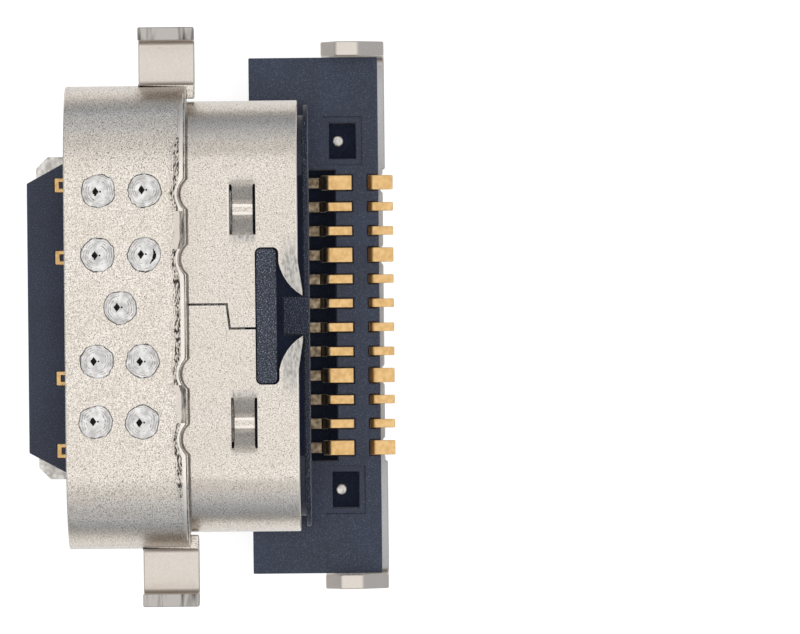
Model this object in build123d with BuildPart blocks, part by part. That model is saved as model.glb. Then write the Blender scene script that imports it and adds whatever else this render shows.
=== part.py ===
"""Charging port connector: a mid-mount, 24-contact reversible receptacle, in millimetres.

The contact row runs along X, a plug goes in along +Y and the board lies on the +Z side.
Places are measured from a datum on the tube's axis, level with the front of the housing
block: y is positive towards the solder tails, z is positive towards the board.
"""
import os

from build123d import *

os.makedirs("parts", exist_ok=True)

# Sheets
shell_sheet = 0.30
bracket_sheet = 0.28
contact_sheet = 0.15
mid_plate_sheet = 0.15
shield_sheet = 0.10

# Mouth of the rolled tube
mouth_width = 8.34
mouth_height = 2.56
mouth_reach = 3.46
tube_back_reach = 1.00
tube_front_gap = 0.06
seat_gap = 0.03
seam_width = 0.04
seam_jog = 0.25
seam_jog_y = -0.47
seam_lean = 0.06

# Key slot and bridge lances on the board side of the tube
key_slot_half = 1.41
key_slot_front = 0.12
key_slot_back = 0.60
key_slot_corner = 0.12
key_neck_half = 0.41
horn_reach = 0.09
horn_half = 1.10
horn_bow = 0.09
horn_root = 0.10
lance_x = 2.20
lance_y = -0.13
lance_length = 1.03
lance_width = 0.44
lance_window = 0.53
lance_flat = 0.29
lance_depth = 0.25

# Joggled neck, cover plate, fingers and side tabs
neck_half = 2.64
neck_notch_depth = 0.55
neck_notch_half = 3.03
neck_notch_flare = 3.66
neck_notch_corner = 0.12
joggle_start = -0.34
joggle_end = 0.12
joggle_bend = 0.15
cover_front = 0.41
cover_half = 3.36
cover_rear = 2.81
cover_setback = 0.05
cover_inner_corner = 0.20
cover_corner = 0.12
tail_bite_width = 0.40
tail_bite_depth = 0.09
strip_front = 1.66
finger_front = 0.75
finger_back = 1.20
finger_half = 4.53
finger_rise = 0.16
finger_root = 0.30
finger_flat = 0.10
finger_bend = 0.30
tab_bend = 0.45
tab_front = 1.50
tab_tip_front = 1.82
tab_tip_back = 2.27
tab_shoulder_z = 0.10
tab_tip_z = 0.55
tab_corner = 0.10
tab_gap = 0.02

# Welded reinforcing bracket
bracket_reach = 3.80
bracket_back = 1.29
bracket_side_gap = 0.05
bracket_wall_bottom = -0.50
bracket_corner = 0.25
foot_front = 2.28
foot_back = 1.12
foot_span = 12.0
foot_tip_z = 0.55
foot_bend = 0.12
foot_root_z = 0.30
foot_relief = 0.06
weld_radius = 0.33
weld_crest = 0.28
weld_height = 0.03
weld_skirt_angle = 45
weld_dish_angle = 60
weld_sides = 14
weld_dish_depth = 0.05
weld_rows = (-2.60, -1.29, 0.90, 2.15)
weld_columns = (-3.13, -2.18)
weld_skew = 0.02
weld_middle = (-0.20, -2.66)
scallop_rows = (-2.52, -1.18, 1.18, 2.52)
scallop_width = 0.62
scallop_depth = 0.15

# Moulded housing
block_width = 10.70
block_depth = 2.67
block_top = 0.0
base_front = -0.10
base_fit = 0.02
collar_depth = 0.22
collar_drop = 0.10
key_fit = 0.02
key_back = 0.55
key_block_front = 0.70
key_recess = 0.03
key_corner = 0.10
lance_pocket_margin = 0.05
pit_x = 3.62
pit_y = 1.93
pit_length = 0.75
pit_width = 0.56
pit_depth = 0.50
pit_rim = 0.12
pit_rim_depth = 0.03
trough_half = 3.02
trough_depth = 0.62
tail_ledge_y = 1.78
tail_gap = 0.02
outer_slot_depth = 0.10
finger_pocket_depth = 0.45
finger_pocket_margin = 0.09
finger_pocket_half = 4.79
finger_pocket_overlap = 0.20
neck_relief = 0.30
neck_relief_height = 0.20
block_bevel = 0.17

# Tongue
tongue_reach = 4.61
tongue_width = 6.38
tongue_thickness = 0.70
tongue_chamfer_y = 0.74
tongue_chamfer_x = 0.40
step_reach = 1.25
step_width = 7.00
step_thickness = 1.50

# Ground shields on the root step
shield_half = 2.60
shield_flange = 0.98

# Contact carriers
carrier_half = 3.05
carrier_back = 0.90
carrier_top = 0.62
carrier_tongue_bottom = -0.68
carrier_bottom = -1.32

# Mid plate
mid_plate_half = 3.34
mid_plate_tip = 0.19
mid_plate_corner = 0.24
latch_notch_tip = 1.35
latch_notch_length = 0.90
latch_notch_depth = 0.40
mid_plate_waist = -0.40
mid_bend_front = -0.40
mid_bend_back = 0.50
wing_half = 4.10
wing_front = 1.55
wing_back = 2.30
nub_radius = 0.13
nub_taper = 0.7
nub_rise = 0.06
nub_offset = 0.09

# Contacts
contacts_per_row = 12
contact_pitch = 0.50
tongue_contact_width = 0.29
body_width = 0.22
signal_tail_width = 0.18
power_tail_width = 0.30
power_positions = (0, 3, 8, 11)
long_tip_gap = 0.58
short_tip_gap = 0.90
bone_notch = 0.07
bone_length = 0.14
bone_place = 0.26
window_length = 0.20
window_width = 0.13
window_place = 0.10
tongue_contact_end = -0.70
upper_bend_front = -0.30
upper_bend_back = 0.60
lower_bend_front = -0.45
lower_bend_back = 0.35
upper_run_z = -0.55
mid_run_z = -0.80
lower_run_z = -1.05
tail_z = -0.10
inner_riser = 1.57
riser_lean = 0.10
inner_tail_end = 2.12
outer_riser = 2.60
tail_reach = 2.97
bend_radius = 0.08

# Values worked out from the sizes above
tube_width = mouth_width + 2 * shell_sheet
tube_height = mouth_height + 2 * shell_sheet
tube_top = tube_height / 2
cover_level = -tube_top - shell_sheet
datum_y = (tongue_reach - tail_reach) / 2
tube_axis_z = -cover_level
tab_outer = block_width / 2 + tab_gap + shell_sheet
bracket_outer = tube_width / 2 + bracket_side_gap + bracket_sheet
bracket_top = tube_top + bracket_sheet
collar_back = tube_back_reach + collar_depth
tongue_face = tongue_thickness / 2
step_face = step_thickness / 2
mid_run_centre = mid_run_z + mid_plate_sheet / 2
clear = 1.0
overlap = 0.01
sharp = 0.01


def across(y):
    """Plane square to the plug's path, with X to the right and Z up, facing the mouth."""
    return Plane(origin=(0, datum_y + y, tube_axis_z), x_dir=(1, 0, 0), z_dir=(0, -1, 0))


def lengthwise(x):
    """Plane along the plug's path, with y to the right and z up."""
    return Plane(origin=(x, datum_y, tube_axis_z), x_dir=(0, 1, 0), z_dir=(1, 0, 0))


def level(z):
    """Plane parallel to the board, with X to the right and y up."""
    return Plane(origin=(0, datum_y, tube_axis_z + z), x_dir=(1, 0, 0), z_dir=(0, 0, 1))


def contact_place(position):
    """X of a contact, counted from 0 at the left."""
    return (position - (contacts_per_row - 1) / 2) * contact_pitch


def tail_width(position):
    """Width of a contact's solder tail: power and ground tails are wider."""
    return power_tail_width if position in power_positions else signal_tail_width


def save(piece, name):
    """Label a finished piece and write it to its own file."""
    piece.part.label = name
    export_step(piece.part, "parts/" + name + ".step")


# Shell: one stamped sheet, rolled into the tube and joggled out into the cover plate
with BuildPart() as shell:
    with BuildSketch(across(tube_back_reach)):
        SlotOverall(tube_width, tube_height)
        SlotOverall(mouth_width, mouth_height, mode=Mode.SUBTRACT)
    extrude(amount=tube_back_reach + mouth_reach)
    # Only the board side of the tube reaches back over the housing block
    with BuildSketch(across(tube_back_reach)):
        with Locations((0, block_top + seat_gap)):
            Rectangle(tube_width, tube_height, align=(Align.CENTER, Align.MAX))
    extrude(amount=tube_back_reach + tube_front_gap, mode=Mode.SUBTRACT)
    # A flared notch frees the neck on each side
    with BuildSketch(level(-tube_top)):
        with BuildLine():
            FilletPolyline(
                (neck_half, clear),
                (neck_half, -neck_notch_depth),
                (neck_notch_half, -neck_notch_depth),
                (neck_notch_flare, -tube_front_gap),
                (neck_notch_flare, clear),
                radius=neck_notch_corner,
            )
            Line((neck_notch_flare, clear), (neck_half, clear))
        make_face()
        mirror(about=Plane.YZ)
    extrude(amount=tube_top, mode=Mode.SUBTRACT)
    # Neck: the sheet steps down by its own thickness
    with BuildSketch(lengthwise(0)):
        with BuildLine():
            FilletPolyline(
                (-neck_notch_depth, -tube_top),
                (joggle_start, -tube_top),
                (joggle_end, cover_level),
                (strip_front, cover_level),
                radius=[joggle_bend, joggle_bend + shell_sheet],
            )
            offset(amount=shell_sheet, side=Side.LEFT)
        make_face()
    extrude(amount=neck_half, both=True)
    # Cover plate with its two slots
    with BuildSketch(level(cover_level)):
        with BuildLine():
            FilletPolyline(
                (0, joggle_end),
                (neck_half, joggle_end),
                (neck_half, cover_front),
                (cover_half, cover_front),
                (cover_half, strip_front),
                (tab_outer - tab_bend, strip_front),
                (tab_outer - tab_bend, cover_rear),
                (0, cover_rear),
                radius=[sharp, cover_inner_corner, cover_corner, (strip_front - finger_back) / 2, sharp, sharp],
            )
            Line((0, cover_rear), (0, joggle_end))
        make_face()
        mirror(about=Plane.YZ)
    extrude(amount=shell_sheet)
    # The rear edge stands back from the solder tails, with a round bite at each wide one
    tail_zone = (contacts_per_row - 1) * contact_pitch + 2 * power_tail_width
    bite_radius = ((tail_bite_width / 2) ** 2 + tail_bite_depth**2) / (2 * tail_bite_depth)
    with BuildSketch(level(cover_level)):
        with Locations((0, cover_rear)):
            Rectangle(tail_zone, 2 * cover_setback)
        for position in power_positions:
            with Locations((contact_place(position), cover_rear - cover_setback - tail_bite_depth + bite_radius)):
                Circle(bite_radius)
    extrude(amount=shell_sheet, mode=Mode.SUBTRACT)
    # Spring fingers, set into the housing's pockets
    with BuildSketch(across(finger_back)):
        with BuildLine():
            FilletPolyline(
                (cover_half - finger_root, cover_level),
                (cover_half + finger_flat, cover_level),
                (finger_half, cover_level + finger_rise),
                radius=finger_bend + shell_sheet,
            )
            offset(amount=shell_sheet, side=Side.LEFT)
        make_face()
        mirror(about=Plane.YZ)
    extrude(amount=finger_back - finger_front)
    # Side tabs: the cover's full-width strip bends up and ends in a peg for the board
    with BuildSketch(across(cover_rear)):
        with BuildLine():
            FilletPolyline(
                (tab_outer - 2 * tab_bend, cover_level),
                (tab_outer, cover_level),
                (tab_outer, cover_level + 2 * tab_bend),
                radius=tab_bend,
            )
            offset(amount=shell_sheet, side=Side.LEFT)
        make_face()
        mirror(about=Plane.YZ)
    extrude(amount=cover_rear - strip_front)
    for tab_wall in (tab_outer - shell_sheet, -tab_outer):
        with BuildSketch(lengthwise(tab_wall)):
            with BuildLine():
                FilletPolyline(
                    (cover_rear, cover_level + tab_bend),
                    (cover_rear, tab_shoulder_z),
                    (tab_tip_back, tab_tip_z),
                    (tab_tip_front, tab_tip_z),
                    (tab_front, tab_shoulder_z),
                    (tab_front, -tube_top / 2),
                    (strip_front, cover_level + tab_bend),
                    radius=tab_corner,
                )
                Line((strip_front, cover_level + tab_bend), (cover_rear, cover_level + tab_bend))
            make_face()
        extrude(amount=shell_sheet)
    # Horns that close round the housing's key
    with BuildSketch(level(mouth_height / 2)):
        with BuildLine():
            Polyline(
                (0, tube_back_reach - horn_root),
                (0, tube_back_reach + horn_reach),
                (key_neck_half + horn_root, tube_back_reach + horn_reach),
                (horn_half, tube_back_reach),
                (horn_half, tube_back_reach - horn_root),
                close=True,
            )
        make_face()
        mirror(about=Plane.YZ)
    extrude(amount=shell_sheet)
    with BuildSketch(level(mouth_height / 2)):
        with BuildLine():
            FilletPolyline(
                (0, key_slot_front),
                (key_slot_half, key_slot_front),
                (key_slot_half, key_slot_back),
                (horn_half, key_slot_back),
                radius=key_slot_corner,
            )
            SagittaArc((horn_half, key_slot_back), (key_neck_half, tube_back_reach + horn_reach), horn_bow)
            Line((key_neck_half, tube_back_reach + horn_reach), (key_neck_half, tube_back_reach + clear))
            Line((key_neck_half, tube_back_reach + clear), (0, tube_back_reach + clear))
            Line((0, tube_back_reach + clear), (0, key_slot_front))
        make_face()
        mirror(about=Plane.YZ)
    extrude(amount=shell_sheet, mode=Mode.SUBTRACT)
    # Interlocked seam of the rolled sheet
    with BuildSketch(level(mouth_height / 2)):
        with BuildLine():
            Polyline(
                (-seam_jog, -mouth_reach - clear),
                (-seam_jog, seam_jog_y),
                (seam_jog, seam_jog_y + seam_lean),
                (seam_jog, key_slot_front + key_slot_corner),
            )
        trace(line_width=seam_width)
    extrude(amount=shell_sheet, mode=Mode.SUBTRACT)
    # Bridge lances
    with BuildSketch(level(mouth_height / 2)):
        with Locations((-lance_x, lance_y), (lance_x, lance_y)):
            Rectangle(lance_length, lance_window)
    extrude(amount=shell_sheet, mode=Mode.SUBTRACT)
    with BuildSketch(across(lance_y + lance_width / 2)):
        with BuildLine():
            Polyline(
                (lance_x - lance_length / 2 - overlap, tube_top),
                (lance_x - lance_length / 2, tube_top),
                (lance_x - lance_flat / 2, tube_top - lance_depth),
                (lance_x + lance_flat / 2, tube_top - lance_depth),
                (lance_x + lance_length / 2, tube_top),
                (lance_x + lance_length / 2 + overlap, tube_top),
                (lance_x + lance_length / 2 + overlap, tube_top - shell_sheet),
                (lance_x + lance_flat / 2, tube_top - lance_depth - shell_sheet),
                (lance_x - lance_flat / 2, tube_top - lance_depth - shell_sheet),
                (lance_x - lance_length / 2 - overlap, tube_top - shell_sheet),
                close=True,
            )
        make_face()
        mirror(about=Plane.YZ)
    extrude(amount=lance_width)
save(shell, "shell")

# Reinforcing bracket: a strap bent round the tube and welded to it, with a foot on each side
bracket_radius = tube_top + bracket_sheet
with BuildPart() as bracket:
    with BuildSketch(across(-bracket_back)):
        with BuildLine():
            FilletPolyline(
                (bracket_outer, bracket_wall_bottom),
                (bracket_outer, bracket_top),
                (-bracket_outer, bracket_top),
                (-bracket_outer, bracket_wall_bottom),
                radius=bracket_radius,
            )
            offset(amount=bracket_sheet, side=Side.LEFT)
        make_face()
    extrude(amount=bracket_reach - bracket_back)
    # Scalloped rear edge
    scallop_radius = ((scallop_width / 2) ** 2 + scallop_depth**2) / (2 * scallop_depth)
    with BuildSketch(level(tube_top)):
        for scallop_x in scallop_rows:
            with Locations((scallop_x, scallop_radius - scallop_depth - bracket_back)):
                Circle(scallop_radius)
    extrude(amount=bracket_sheet, mode=Mode.SUBTRACT)
    # Rounded lower corners of the strap at the mouth
    with BuildSketch(lengthwise(-bracket_outer)):
        with BuildLine():
            Polyline(
                (-bracket_reach, bracket_wall_bottom),
                (-bracket_reach + bracket_corner, bracket_wall_bottom),
                (-bracket_reach, bracket_wall_bottom + bracket_corner),
                close=True,
            )
        make_face()
    extrude(amount=2 * bracket_outer, mode=Mode.SUBTRACT)
    # Clear the wall behind and beside each foot, then bend the foot out and its tip up
    with BuildSketch(lengthwise(-bracket_outer)):
        with Locations((-foot_front - foot_relief, bracket_wall_bottom)):
            Rectangle(foot_front, -bracket_wall_bottom, align=(Align.MIN, Align.MIN))
    extrude(amount=2 * bracket_outer, mode=Mode.SUBTRACT)
    with BuildSketch(across(-foot_back)):
        with BuildLine():
            FilletPolyline(
                (foot_span / 2 - bracket_sheet, foot_tip_z),
                (foot_span / 2 - bracket_sheet, block_top),
                (bracket_outer, block_top),
                (bracket_outer, foot_root_z),
                radius=foot_bend,
            )
            Line((bracket_outer, foot_root_z), (bracket_outer - bracket_sheet, foot_root_z))
            FilletPolyline(
                (bracket_outer - bracket_sheet, foot_root_z),
                (bracket_outer - bracket_sheet, block_top - bracket_sheet),
                (foot_span / 2, block_top - bracket_sheet),
                (foot_span / 2, foot_tip_z),
                radius=foot_bend + bracket_sheet,
            )
            Line((foot_span / 2, foot_tip_z), (foot_span / 2 - bracket_sheet, foot_tip_z))
        make_face()
        mirror(about=Plane.YZ)
    extrude(amount=foot_front - foot_back)
    # Laser welds: a raised rim round a shallow dish
    weld_spots = [weld_middle] + [(x, y - weld_skew * x) for x in weld_rows for y in weld_columns]
    with BuildSketch(level(bracket_top)):
        with Locations(*weld_spots):
            RegularPolygon(weld_radius, weld_sides)
    extrude(amount=weld_height, taper=weld_skirt_angle)
    with BuildSketch(level(bracket_top + weld_height)):
        with Locations(*weld_spots):
            RegularPolygon(weld_crest, weld_sides)
    extrude(amount=-weld_height - weld_dish_depth, taper=weld_dish_angle, mode=Mode.SUBTRACT)
save(bracket, "reinforcing_bracket")

# Mid plate: the steel core of the tongue, which stiffens it and catches the plug's latches
with BuildPart() as mid_plate:
    with BuildSketch(lengthwise(0)):
        with BuildLine():
            Polyline(
                (-tongue_reach + mid_plate_tip, -mid_plate_sheet / 2),
                (mid_bend_front, -mid_plate_sheet / 2),
                (mid_bend_back, mid_run_z),
                (wing_back, mid_run_z),
            )
            offset(amount=mid_plate_sheet, side=Side.LEFT, kind=Kind.INTERSECTION)
        make_face()
    extrude(amount=wing_half, both=True)
    with BuildSketch(level(-tube_top)):
        with BuildLine():
            Polyline(
                (0, -tongue_reach),
                (mid_plate_half - mid_plate_corner, -tongue_reach),
                (mid_plate_half - mid_plate_corner, -tongue_reach + mid_plate_tip),
                (mid_plate_half, -tongue_reach + mid_plate_tip + mid_plate_corner),
                (mid_plate_half, -tongue_reach + latch_notch_tip),
                (mid_plate_half - latch_notch_depth, -tongue_reach + latch_notch_tip),
                (mid_plate_half - latch_notch_depth, -tongue_reach + latch_notch_tip + latch_notch_length),
                (mid_plate_half, -tongue_reach + latch_notch_tip + latch_notch_length),
                (mid_plate_half, mid_plate_waist),
                (tongue_width / 2, base_front),
                (tongue_width / 2, wing_front),
                (wing_half, wing_front),
                (wing_half, wing_back),
                (0, wing_back),
                close=True,
            )
        make_face()
        mirror(about=Plane.YZ)
    extrude(amount=2 * tube_top, mode=Mode.INTERSECT)
    # Coined nubs that show in the housing's square pits
    with Locations(level(mid_run_z + mid_plate_sheet)):
        with Locations((-pit_x, pit_y - nub_offset), (pit_x, pit_y - nub_offset)):
            Cone(
                nub_radius,
                nub_radius * nub_taper,
                nub_rise - pit_depth - mid_run_z - mid_plate_sheet,
                align=(Align.CENTER, Align.CENTER, Align.MIN),
            )
save(mid_plate, "mid_plate")


def formed_contact(x, route, tip_y, end_width, is_power):
    """One stamped contact: its bent side profile, cut to its outline seen from the board.

    The route is the contact's lower face from tip to tail. The bend into the tail, the one
    that shows, is rounded on its outside.
    """
    with BuildPart() as contact:
        with BuildSketch(lengthwise(x)):
            with BuildLine():
                Polyline(*route)
                offset(amount=contact_sheet, side=Side.LEFT, kind=Kind.INTERSECTION)
            make_face()
            bend_y, bend_z = route[-2]
            fillet(vertices().sort_by_distance((bend_y - contact_sheet, bend_z + contact_sheet))[0], contact_sheet)
        extrude(amount=power_tail_width, both=True)
        with BuildSketch(level(-tube_top)):
            with Locations((x, tip_y)):
                Rectangle(tongue_contact_width, tongue_contact_end - tip_y, align=(Align.CENTER, Align.MIN))
            with Locations((x, tip_y)):
                Rectangle(body_width, inner_riser - tip_y, align=(Align.CENTER, Align.MIN))
            with Locations((x, inner_riser - riser_lean)):
                Rectangle(end_width, tail_reach, align=(Align.CENTER, Align.MIN))
            if is_power:
                with Locations((x, tip_y + window_place + window_length / 2)):
                    Rectangle(window_width, window_length, mode=Mode.SUBTRACT)
            else:
                with Locations((x - bone_reach, tip_y + bone_place), (x + bone_reach, tip_y + bone_place)):
                    Rectangle(bone_notch, bone_length, mode=Mode.SUBTRACT)
        extrude(amount=2 * tube_top, mode=Mode.INTERSECT)
    return contact


contacts = []
bone_reach = tongue_contact_width / 2
for position in range(contacts_per_row):
    is_power = position in power_positions
    tip_y = -tongue_reach + (long_tip_gap if is_power else short_tip_gap)
    upper_route = [
        (tip_y, tongue_face - contact_sheet),
        (upper_bend_front, tongue_face - contact_sheet),
        (upper_bend_back, upper_run_z),
        (inner_riser, upper_run_z),
        (inner_riser + riser_lean, tail_z),
        (inner_tail_end, tail_z),
    ]
    lower_route = [
        (tip_y, -tongue_face),
        (lower_bend_front, -tongue_face),
        (lower_bend_back, lower_run_z),
        (outer_riser, lower_run_z),
        (outer_riser, tail_z),
        (tail_reach, tail_z),
    ]
    upper = formed_contact(contact_place(position), upper_route, tip_y, tail_width(position), is_power)
    lower = formed_contact(contact_place(position), lower_route, tip_y, tail_width(position), is_power)
    save(upper, "upper_contact_" + str(position + 1))
    save(lower, "lower_contact_" + str(position + 1))
    contacts.append(upper)
    contacts.append(lower)


def ground_shield(side):
    """Grounding sheet on one face of the tongue's root step; side is 1 towards the board."""
    with BuildPart() as shield:
        with BuildSketch(lengthwise(0)):
            with BuildLine():
                corners = [
                    (-step_reach, side * step_face),
                    (base_front, side * step_face),
                    (base_front, side * shield_flange),
                ]
                FilletPolyline(*corners[::side], radius=bend_radius + shield_sheet)
                offset(amount=shield_sheet, side=Side.LEFT)
            make_face()
        extrude(amount=shield_half, both=True)
    return shield


upper_shield = ground_shield(1)
lower_shield = ground_shield(-1)
save(upper_shield, "upper_ground_shield")
save(lower_shield, "lower_ground_shield")

# Carriers: the two first-shot mouldings that hold each row of contacts at its pitch
with BuildPart() as upper_carrier:
    with BuildSketch(lengthwise(0)):
        with BuildLine():
            Polyline(
                (mid_bend_front, 0),
                (mid_bend_front, carrier_top),
                (carrier_back, carrier_top),
                (carrier_back, mid_run_centre),
                (mid_bend_back, mid_run_centre),
                close=True,
            )
        make_face()
    extrude(amount=carrier_half, both=True)
    add([metal.part for metal in [mid_plate] + contacts], mode=Mode.SUBTRACT)
save(upper_carrier, "upper_contact_carrier")

with BuildPart() as lower_carrier:
    with BuildSketch(lengthwise(0)):
        with BuildLine():
            Polyline(
                (mid_bend_front, 0),
                (mid_bend_front, carrier_tongue_bottom),
                (0, carrier_tongue_bottom),
                (0, carrier_bottom),
                (carrier_back, carrier_bottom),
                (carrier_back, mid_run_centre),
                (mid_bend_back, mid_run_centre),
                close=True,
            )
        make_face()
    extrude(amount=carrier_half, both=True)
    add([metal.part for metal in [mid_plate] + contacts], mode=Mode.SUBTRACT)
save(lower_carrier, "lower_contact_carrier")

# Housing: the overmoulding with the tongue, the base in the tube and the block on the board
with BuildPart() as housing:
    with BuildSketch(level(-tongue_face)):
        with BuildLine():
            Polyline(
                (0, base_front),
                (tongue_width / 2, base_front),
                (tongue_width / 2, -tongue_reach + tongue_chamfer_y),
                (tongue_width / 2 - tongue_chamfer_x, -tongue_reach),
                (0, -tongue_reach),
                close=True,
            )
        make_face()
        mirror(about=Plane.YZ)
    extrude(amount=tongue_thickness)
    with BuildSketch(level(-step_face)):
        with Locations((0, base_front)):
            Rectangle(step_width, step_reach + base_front, align=(Align.CENTER, Align.MAX))
    extrude(amount=step_thickness)
    # Base, a push fit in the tube
    with BuildSketch(across(collar_back)):
        SlotOverall(mouth_width - 2 * base_fit, mouth_height - 2 * base_fit)
    extrude(amount=collar_back - base_front)
    # Collar behind the tube's rear edge
    with BuildSketch(across(collar_back)):
        SlotOverall(tube_width - 2 * collar_drop, tube_height - 2 * collar_drop)
    extrude(amount=collar_depth - horn_reach - seat_gap)
    # Block
    with BuildSketch(level(-tube_top)):
        Rectangle(block_width, block_depth, align=(Align.CENTER, Align.MIN))
    extrude(amount=tube_top + block_top)
    # Nothing of the base or the collar lies below the block
    with BuildSketch(level(-tube_top - clear)):
        Rectangle(block_width, block_depth, align=(Align.CENTER, Align.MIN))
    extrude(amount=clear, mode=Mode.SUBTRACT)
    # Key through the tube's slot
    with BuildSketch(level(0)):
        with Locations((0, key_slot_front + key_fit)):
            RectangleRounded(
                2 * (key_slot_half - key_fit),
                key_back - key_slot_front - key_fit,
                key_corner,
                align=(Align.CENTER, Align.MIN),
            )
        with Locations((0, key_block_front)):
            Rectangle(
                2 * (key_neck_half - key_fit),
                collar_back - key_block_front,
                align=(Align.CENTER, Align.MIN),
            )
    extrude(amount=tube_top - key_recess)
    # Pockets under the bridge lances
    with BuildSketch(level(tube_top - lance_depth - shell_sheet - base_fit)):
        with Locations((-lance_x, lance_y), (lance_x, lance_y)):
            Rectangle(lance_length + 2 * lance_pocket_margin, lance_window + 2 * base_fit)
    extrude(amount=lance_depth + shell_sheet, mode=Mode.SUBTRACT)
    # Square core-pin pits, each in a shallow square recess
    with BuildSketch(level(block_top)):
        with Locations((-pit_x, pit_y), (pit_x, pit_y)):
            Rectangle(pit_length + 2 * pit_rim, pit_width + 2 * pit_rim)
    extrude(amount=-pit_rim_depth, mode=Mode.SUBTRACT)
    with BuildSketch(level(block_top)):
        with Locations((-pit_x, pit_y), (pit_x, pit_y)):
            Rectangle(pit_length, pit_width)
    extrude(amount=-pit_depth, mode=Mode.SUBTRACT)
    # Trough in which the inner row of tails comes out
    with BuildSketch(level(block_top)):
        with Locations((0, collar_back)):
            Rectangle(2 * trough_half, tail_ledge_y - collar_back, align=(Align.CENTER, Align.MIN))
    extrude(amount=-trough_depth, mode=Mode.SUBTRACT)
    # Slots for the tails: the inner row lies on the ledge, the outer row comes up at the back
    with BuildSketch(level(block_top)):
        for position in range(contacts_per_row):
            with Locations((contact_place(position), tail_ledge_y)):
                Rectangle(
                    tail_width(position) + 2 * tail_gap,
                    inner_tail_end + tail_gap - tail_ledge_y,
                    align=(Align.CENTER, Align.MIN),
                )
    extrude(amount=tail_z, mode=Mode.SUBTRACT)
    with BuildSketch(level(block_top)):
        for position in range(contacts_per_row):
            with Locations((contact_place(position), block_depth)):
                Rectangle(
                    tail_width(position) + 2 * tail_gap,
                    block_depth - outer_riser + contact_sheet + tail_gap,
                    align=(Align.CENTER, Align.MAX),
                )
    extrude(amount=tail_z - outer_slot_depth, mode=Mode.SUBTRACT)
    # Pockets for the cover's fingers
    with BuildSketch(level(-tube_top)):
        for side in (-1, 1):
            with Locations((side * (cover_half + finger_pocket_half) / 2, (finger_front + finger_back) / 2)):
                Rectangle(
                    finger_pocket_half - cover_half + 2 * finger_pocket_overlap,
                    finger_back - finger_front + 2 * finger_pocket_margin,
                )
    extrude(amount=finger_pocket_depth, mode=Mode.SUBTRACT)
    # Bevel that clears the joggle
    with BuildSketch(lengthwise(-neck_half - base_fit)):
        with BuildLine():
            Polyline((0, -tube_top), (neck_relief, -tube_top), (0, -tube_top + neck_relief_height), close=True)
        make_face()
    extrude(amount=2 * (neck_half + base_fit), mode=Mode.SUBTRACT)
    # Bevelled lower edges that clear the bends of the side tabs
    with BuildSketch(across(block_depth)):
        with BuildLine():
            Polyline(
                (block_width / 2, -tube_top),
                (block_width / 2, -tube_top + block_bevel),
                (block_width / 2 - block_bevel, -tube_top),
                close=True,
            )
        make_face()
        mirror(about=Plane.YZ)
    extrude(amount=block_depth - strip_front + seat_gap, mode=Mode.SUBTRACT)
    # Latch recesses in the tongue's sides
    with BuildSketch(level(-tongue_face)):
        for side in (-1, 1):
            with Locations((side * mid_plate_half, -tongue_reach + latch_notch_tip + latch_notch_length / 2)):
                Rectangle(2 * latch_notch_depth, latch_notch_length)
    extrude(amount=tongue_thickness, mode=Mode.SUBTRACT)
    inserts = [mid_plate, upper_carrier, lower_carrier, upper_shield, lower_shield] + contacts
    add([insert.part for insert in inserts], mode=Mode.SUBTRACT)
save(housing, "housing")
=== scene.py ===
# %% [markdown]
# # A charging port connector in Blender
#
# The real object is a small mid-mount receptacle, about 12 mm across its two feet. Two stamped
# and plated steel sheets, a black moulding and 24 gilt contacts make it up. The solids come from
# the CAD frame, so nothing here is measured again: each piece below is a copy of a solid, given
# the soft edges, burrs, welds and finishes that the press, the laser and the mould leave, with
# painted shade in some of its deep and dipped places.

# %% Load the imported frame
import math

import bpy
from mathutils import Matrix, Vector, noise


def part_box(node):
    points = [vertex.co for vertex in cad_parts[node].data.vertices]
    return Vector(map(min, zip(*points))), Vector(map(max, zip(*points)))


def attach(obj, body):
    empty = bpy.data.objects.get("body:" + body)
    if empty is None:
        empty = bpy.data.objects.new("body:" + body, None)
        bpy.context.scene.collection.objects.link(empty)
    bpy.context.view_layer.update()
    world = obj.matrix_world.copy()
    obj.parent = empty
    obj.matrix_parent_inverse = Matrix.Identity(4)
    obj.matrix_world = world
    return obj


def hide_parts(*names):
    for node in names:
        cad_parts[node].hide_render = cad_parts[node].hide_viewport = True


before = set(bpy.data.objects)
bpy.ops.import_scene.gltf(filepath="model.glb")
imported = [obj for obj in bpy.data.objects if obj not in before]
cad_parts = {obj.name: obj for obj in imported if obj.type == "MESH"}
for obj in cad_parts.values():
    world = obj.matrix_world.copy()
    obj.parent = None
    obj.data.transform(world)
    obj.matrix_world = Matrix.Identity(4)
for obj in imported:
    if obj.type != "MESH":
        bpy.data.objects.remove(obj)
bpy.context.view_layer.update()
print("CAD nodes:", len(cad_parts))

# %% [markdown]
# ## Working in millimetres
#
# One millimetre is a thousandth of Blender's unit, which is small for its modelling tools. So a
# piece is made at a thousand times its size, as if a unit were a millimetre, and its mesh is
# shrunk in one step when it is done. Its object stays at the origin all the time, because the
# export bakes it there.

# %% Units and the places that pieces are built from
MM = 0.001
TAIL_REACH = 2.97
WELD_BEAD_HEIGHT = 0.03
bracket_low, bracket_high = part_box("reinforcing_bracket")
foot_span = (bracket_high.x - bracket_low.x) / MM
strap_top_z = bracket_high.z / MM - WELD_BEAD_HEIGHT
tube_top_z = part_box("shell")[1].z / MM
datum_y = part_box("lower_contact_1")[1].y / MM - TAIL_REACH
print("datum at y =", round(datum_y, 3), "mm, strap's top at z =", round(strap_top_z, 3), "mm")


# %% Selection and finishing helpers
def deselect_all():
    """Leave nothing selected, so that an operator acts only on what is chosen next."""
    bpy.ops.object.select_all(action="DESELECT")


def make_active(piece):
    """Select one piece alone."""
    deselect_all()
    piece.select_set(True)
    bpy.context.view_layer.objects.active = piece


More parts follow.
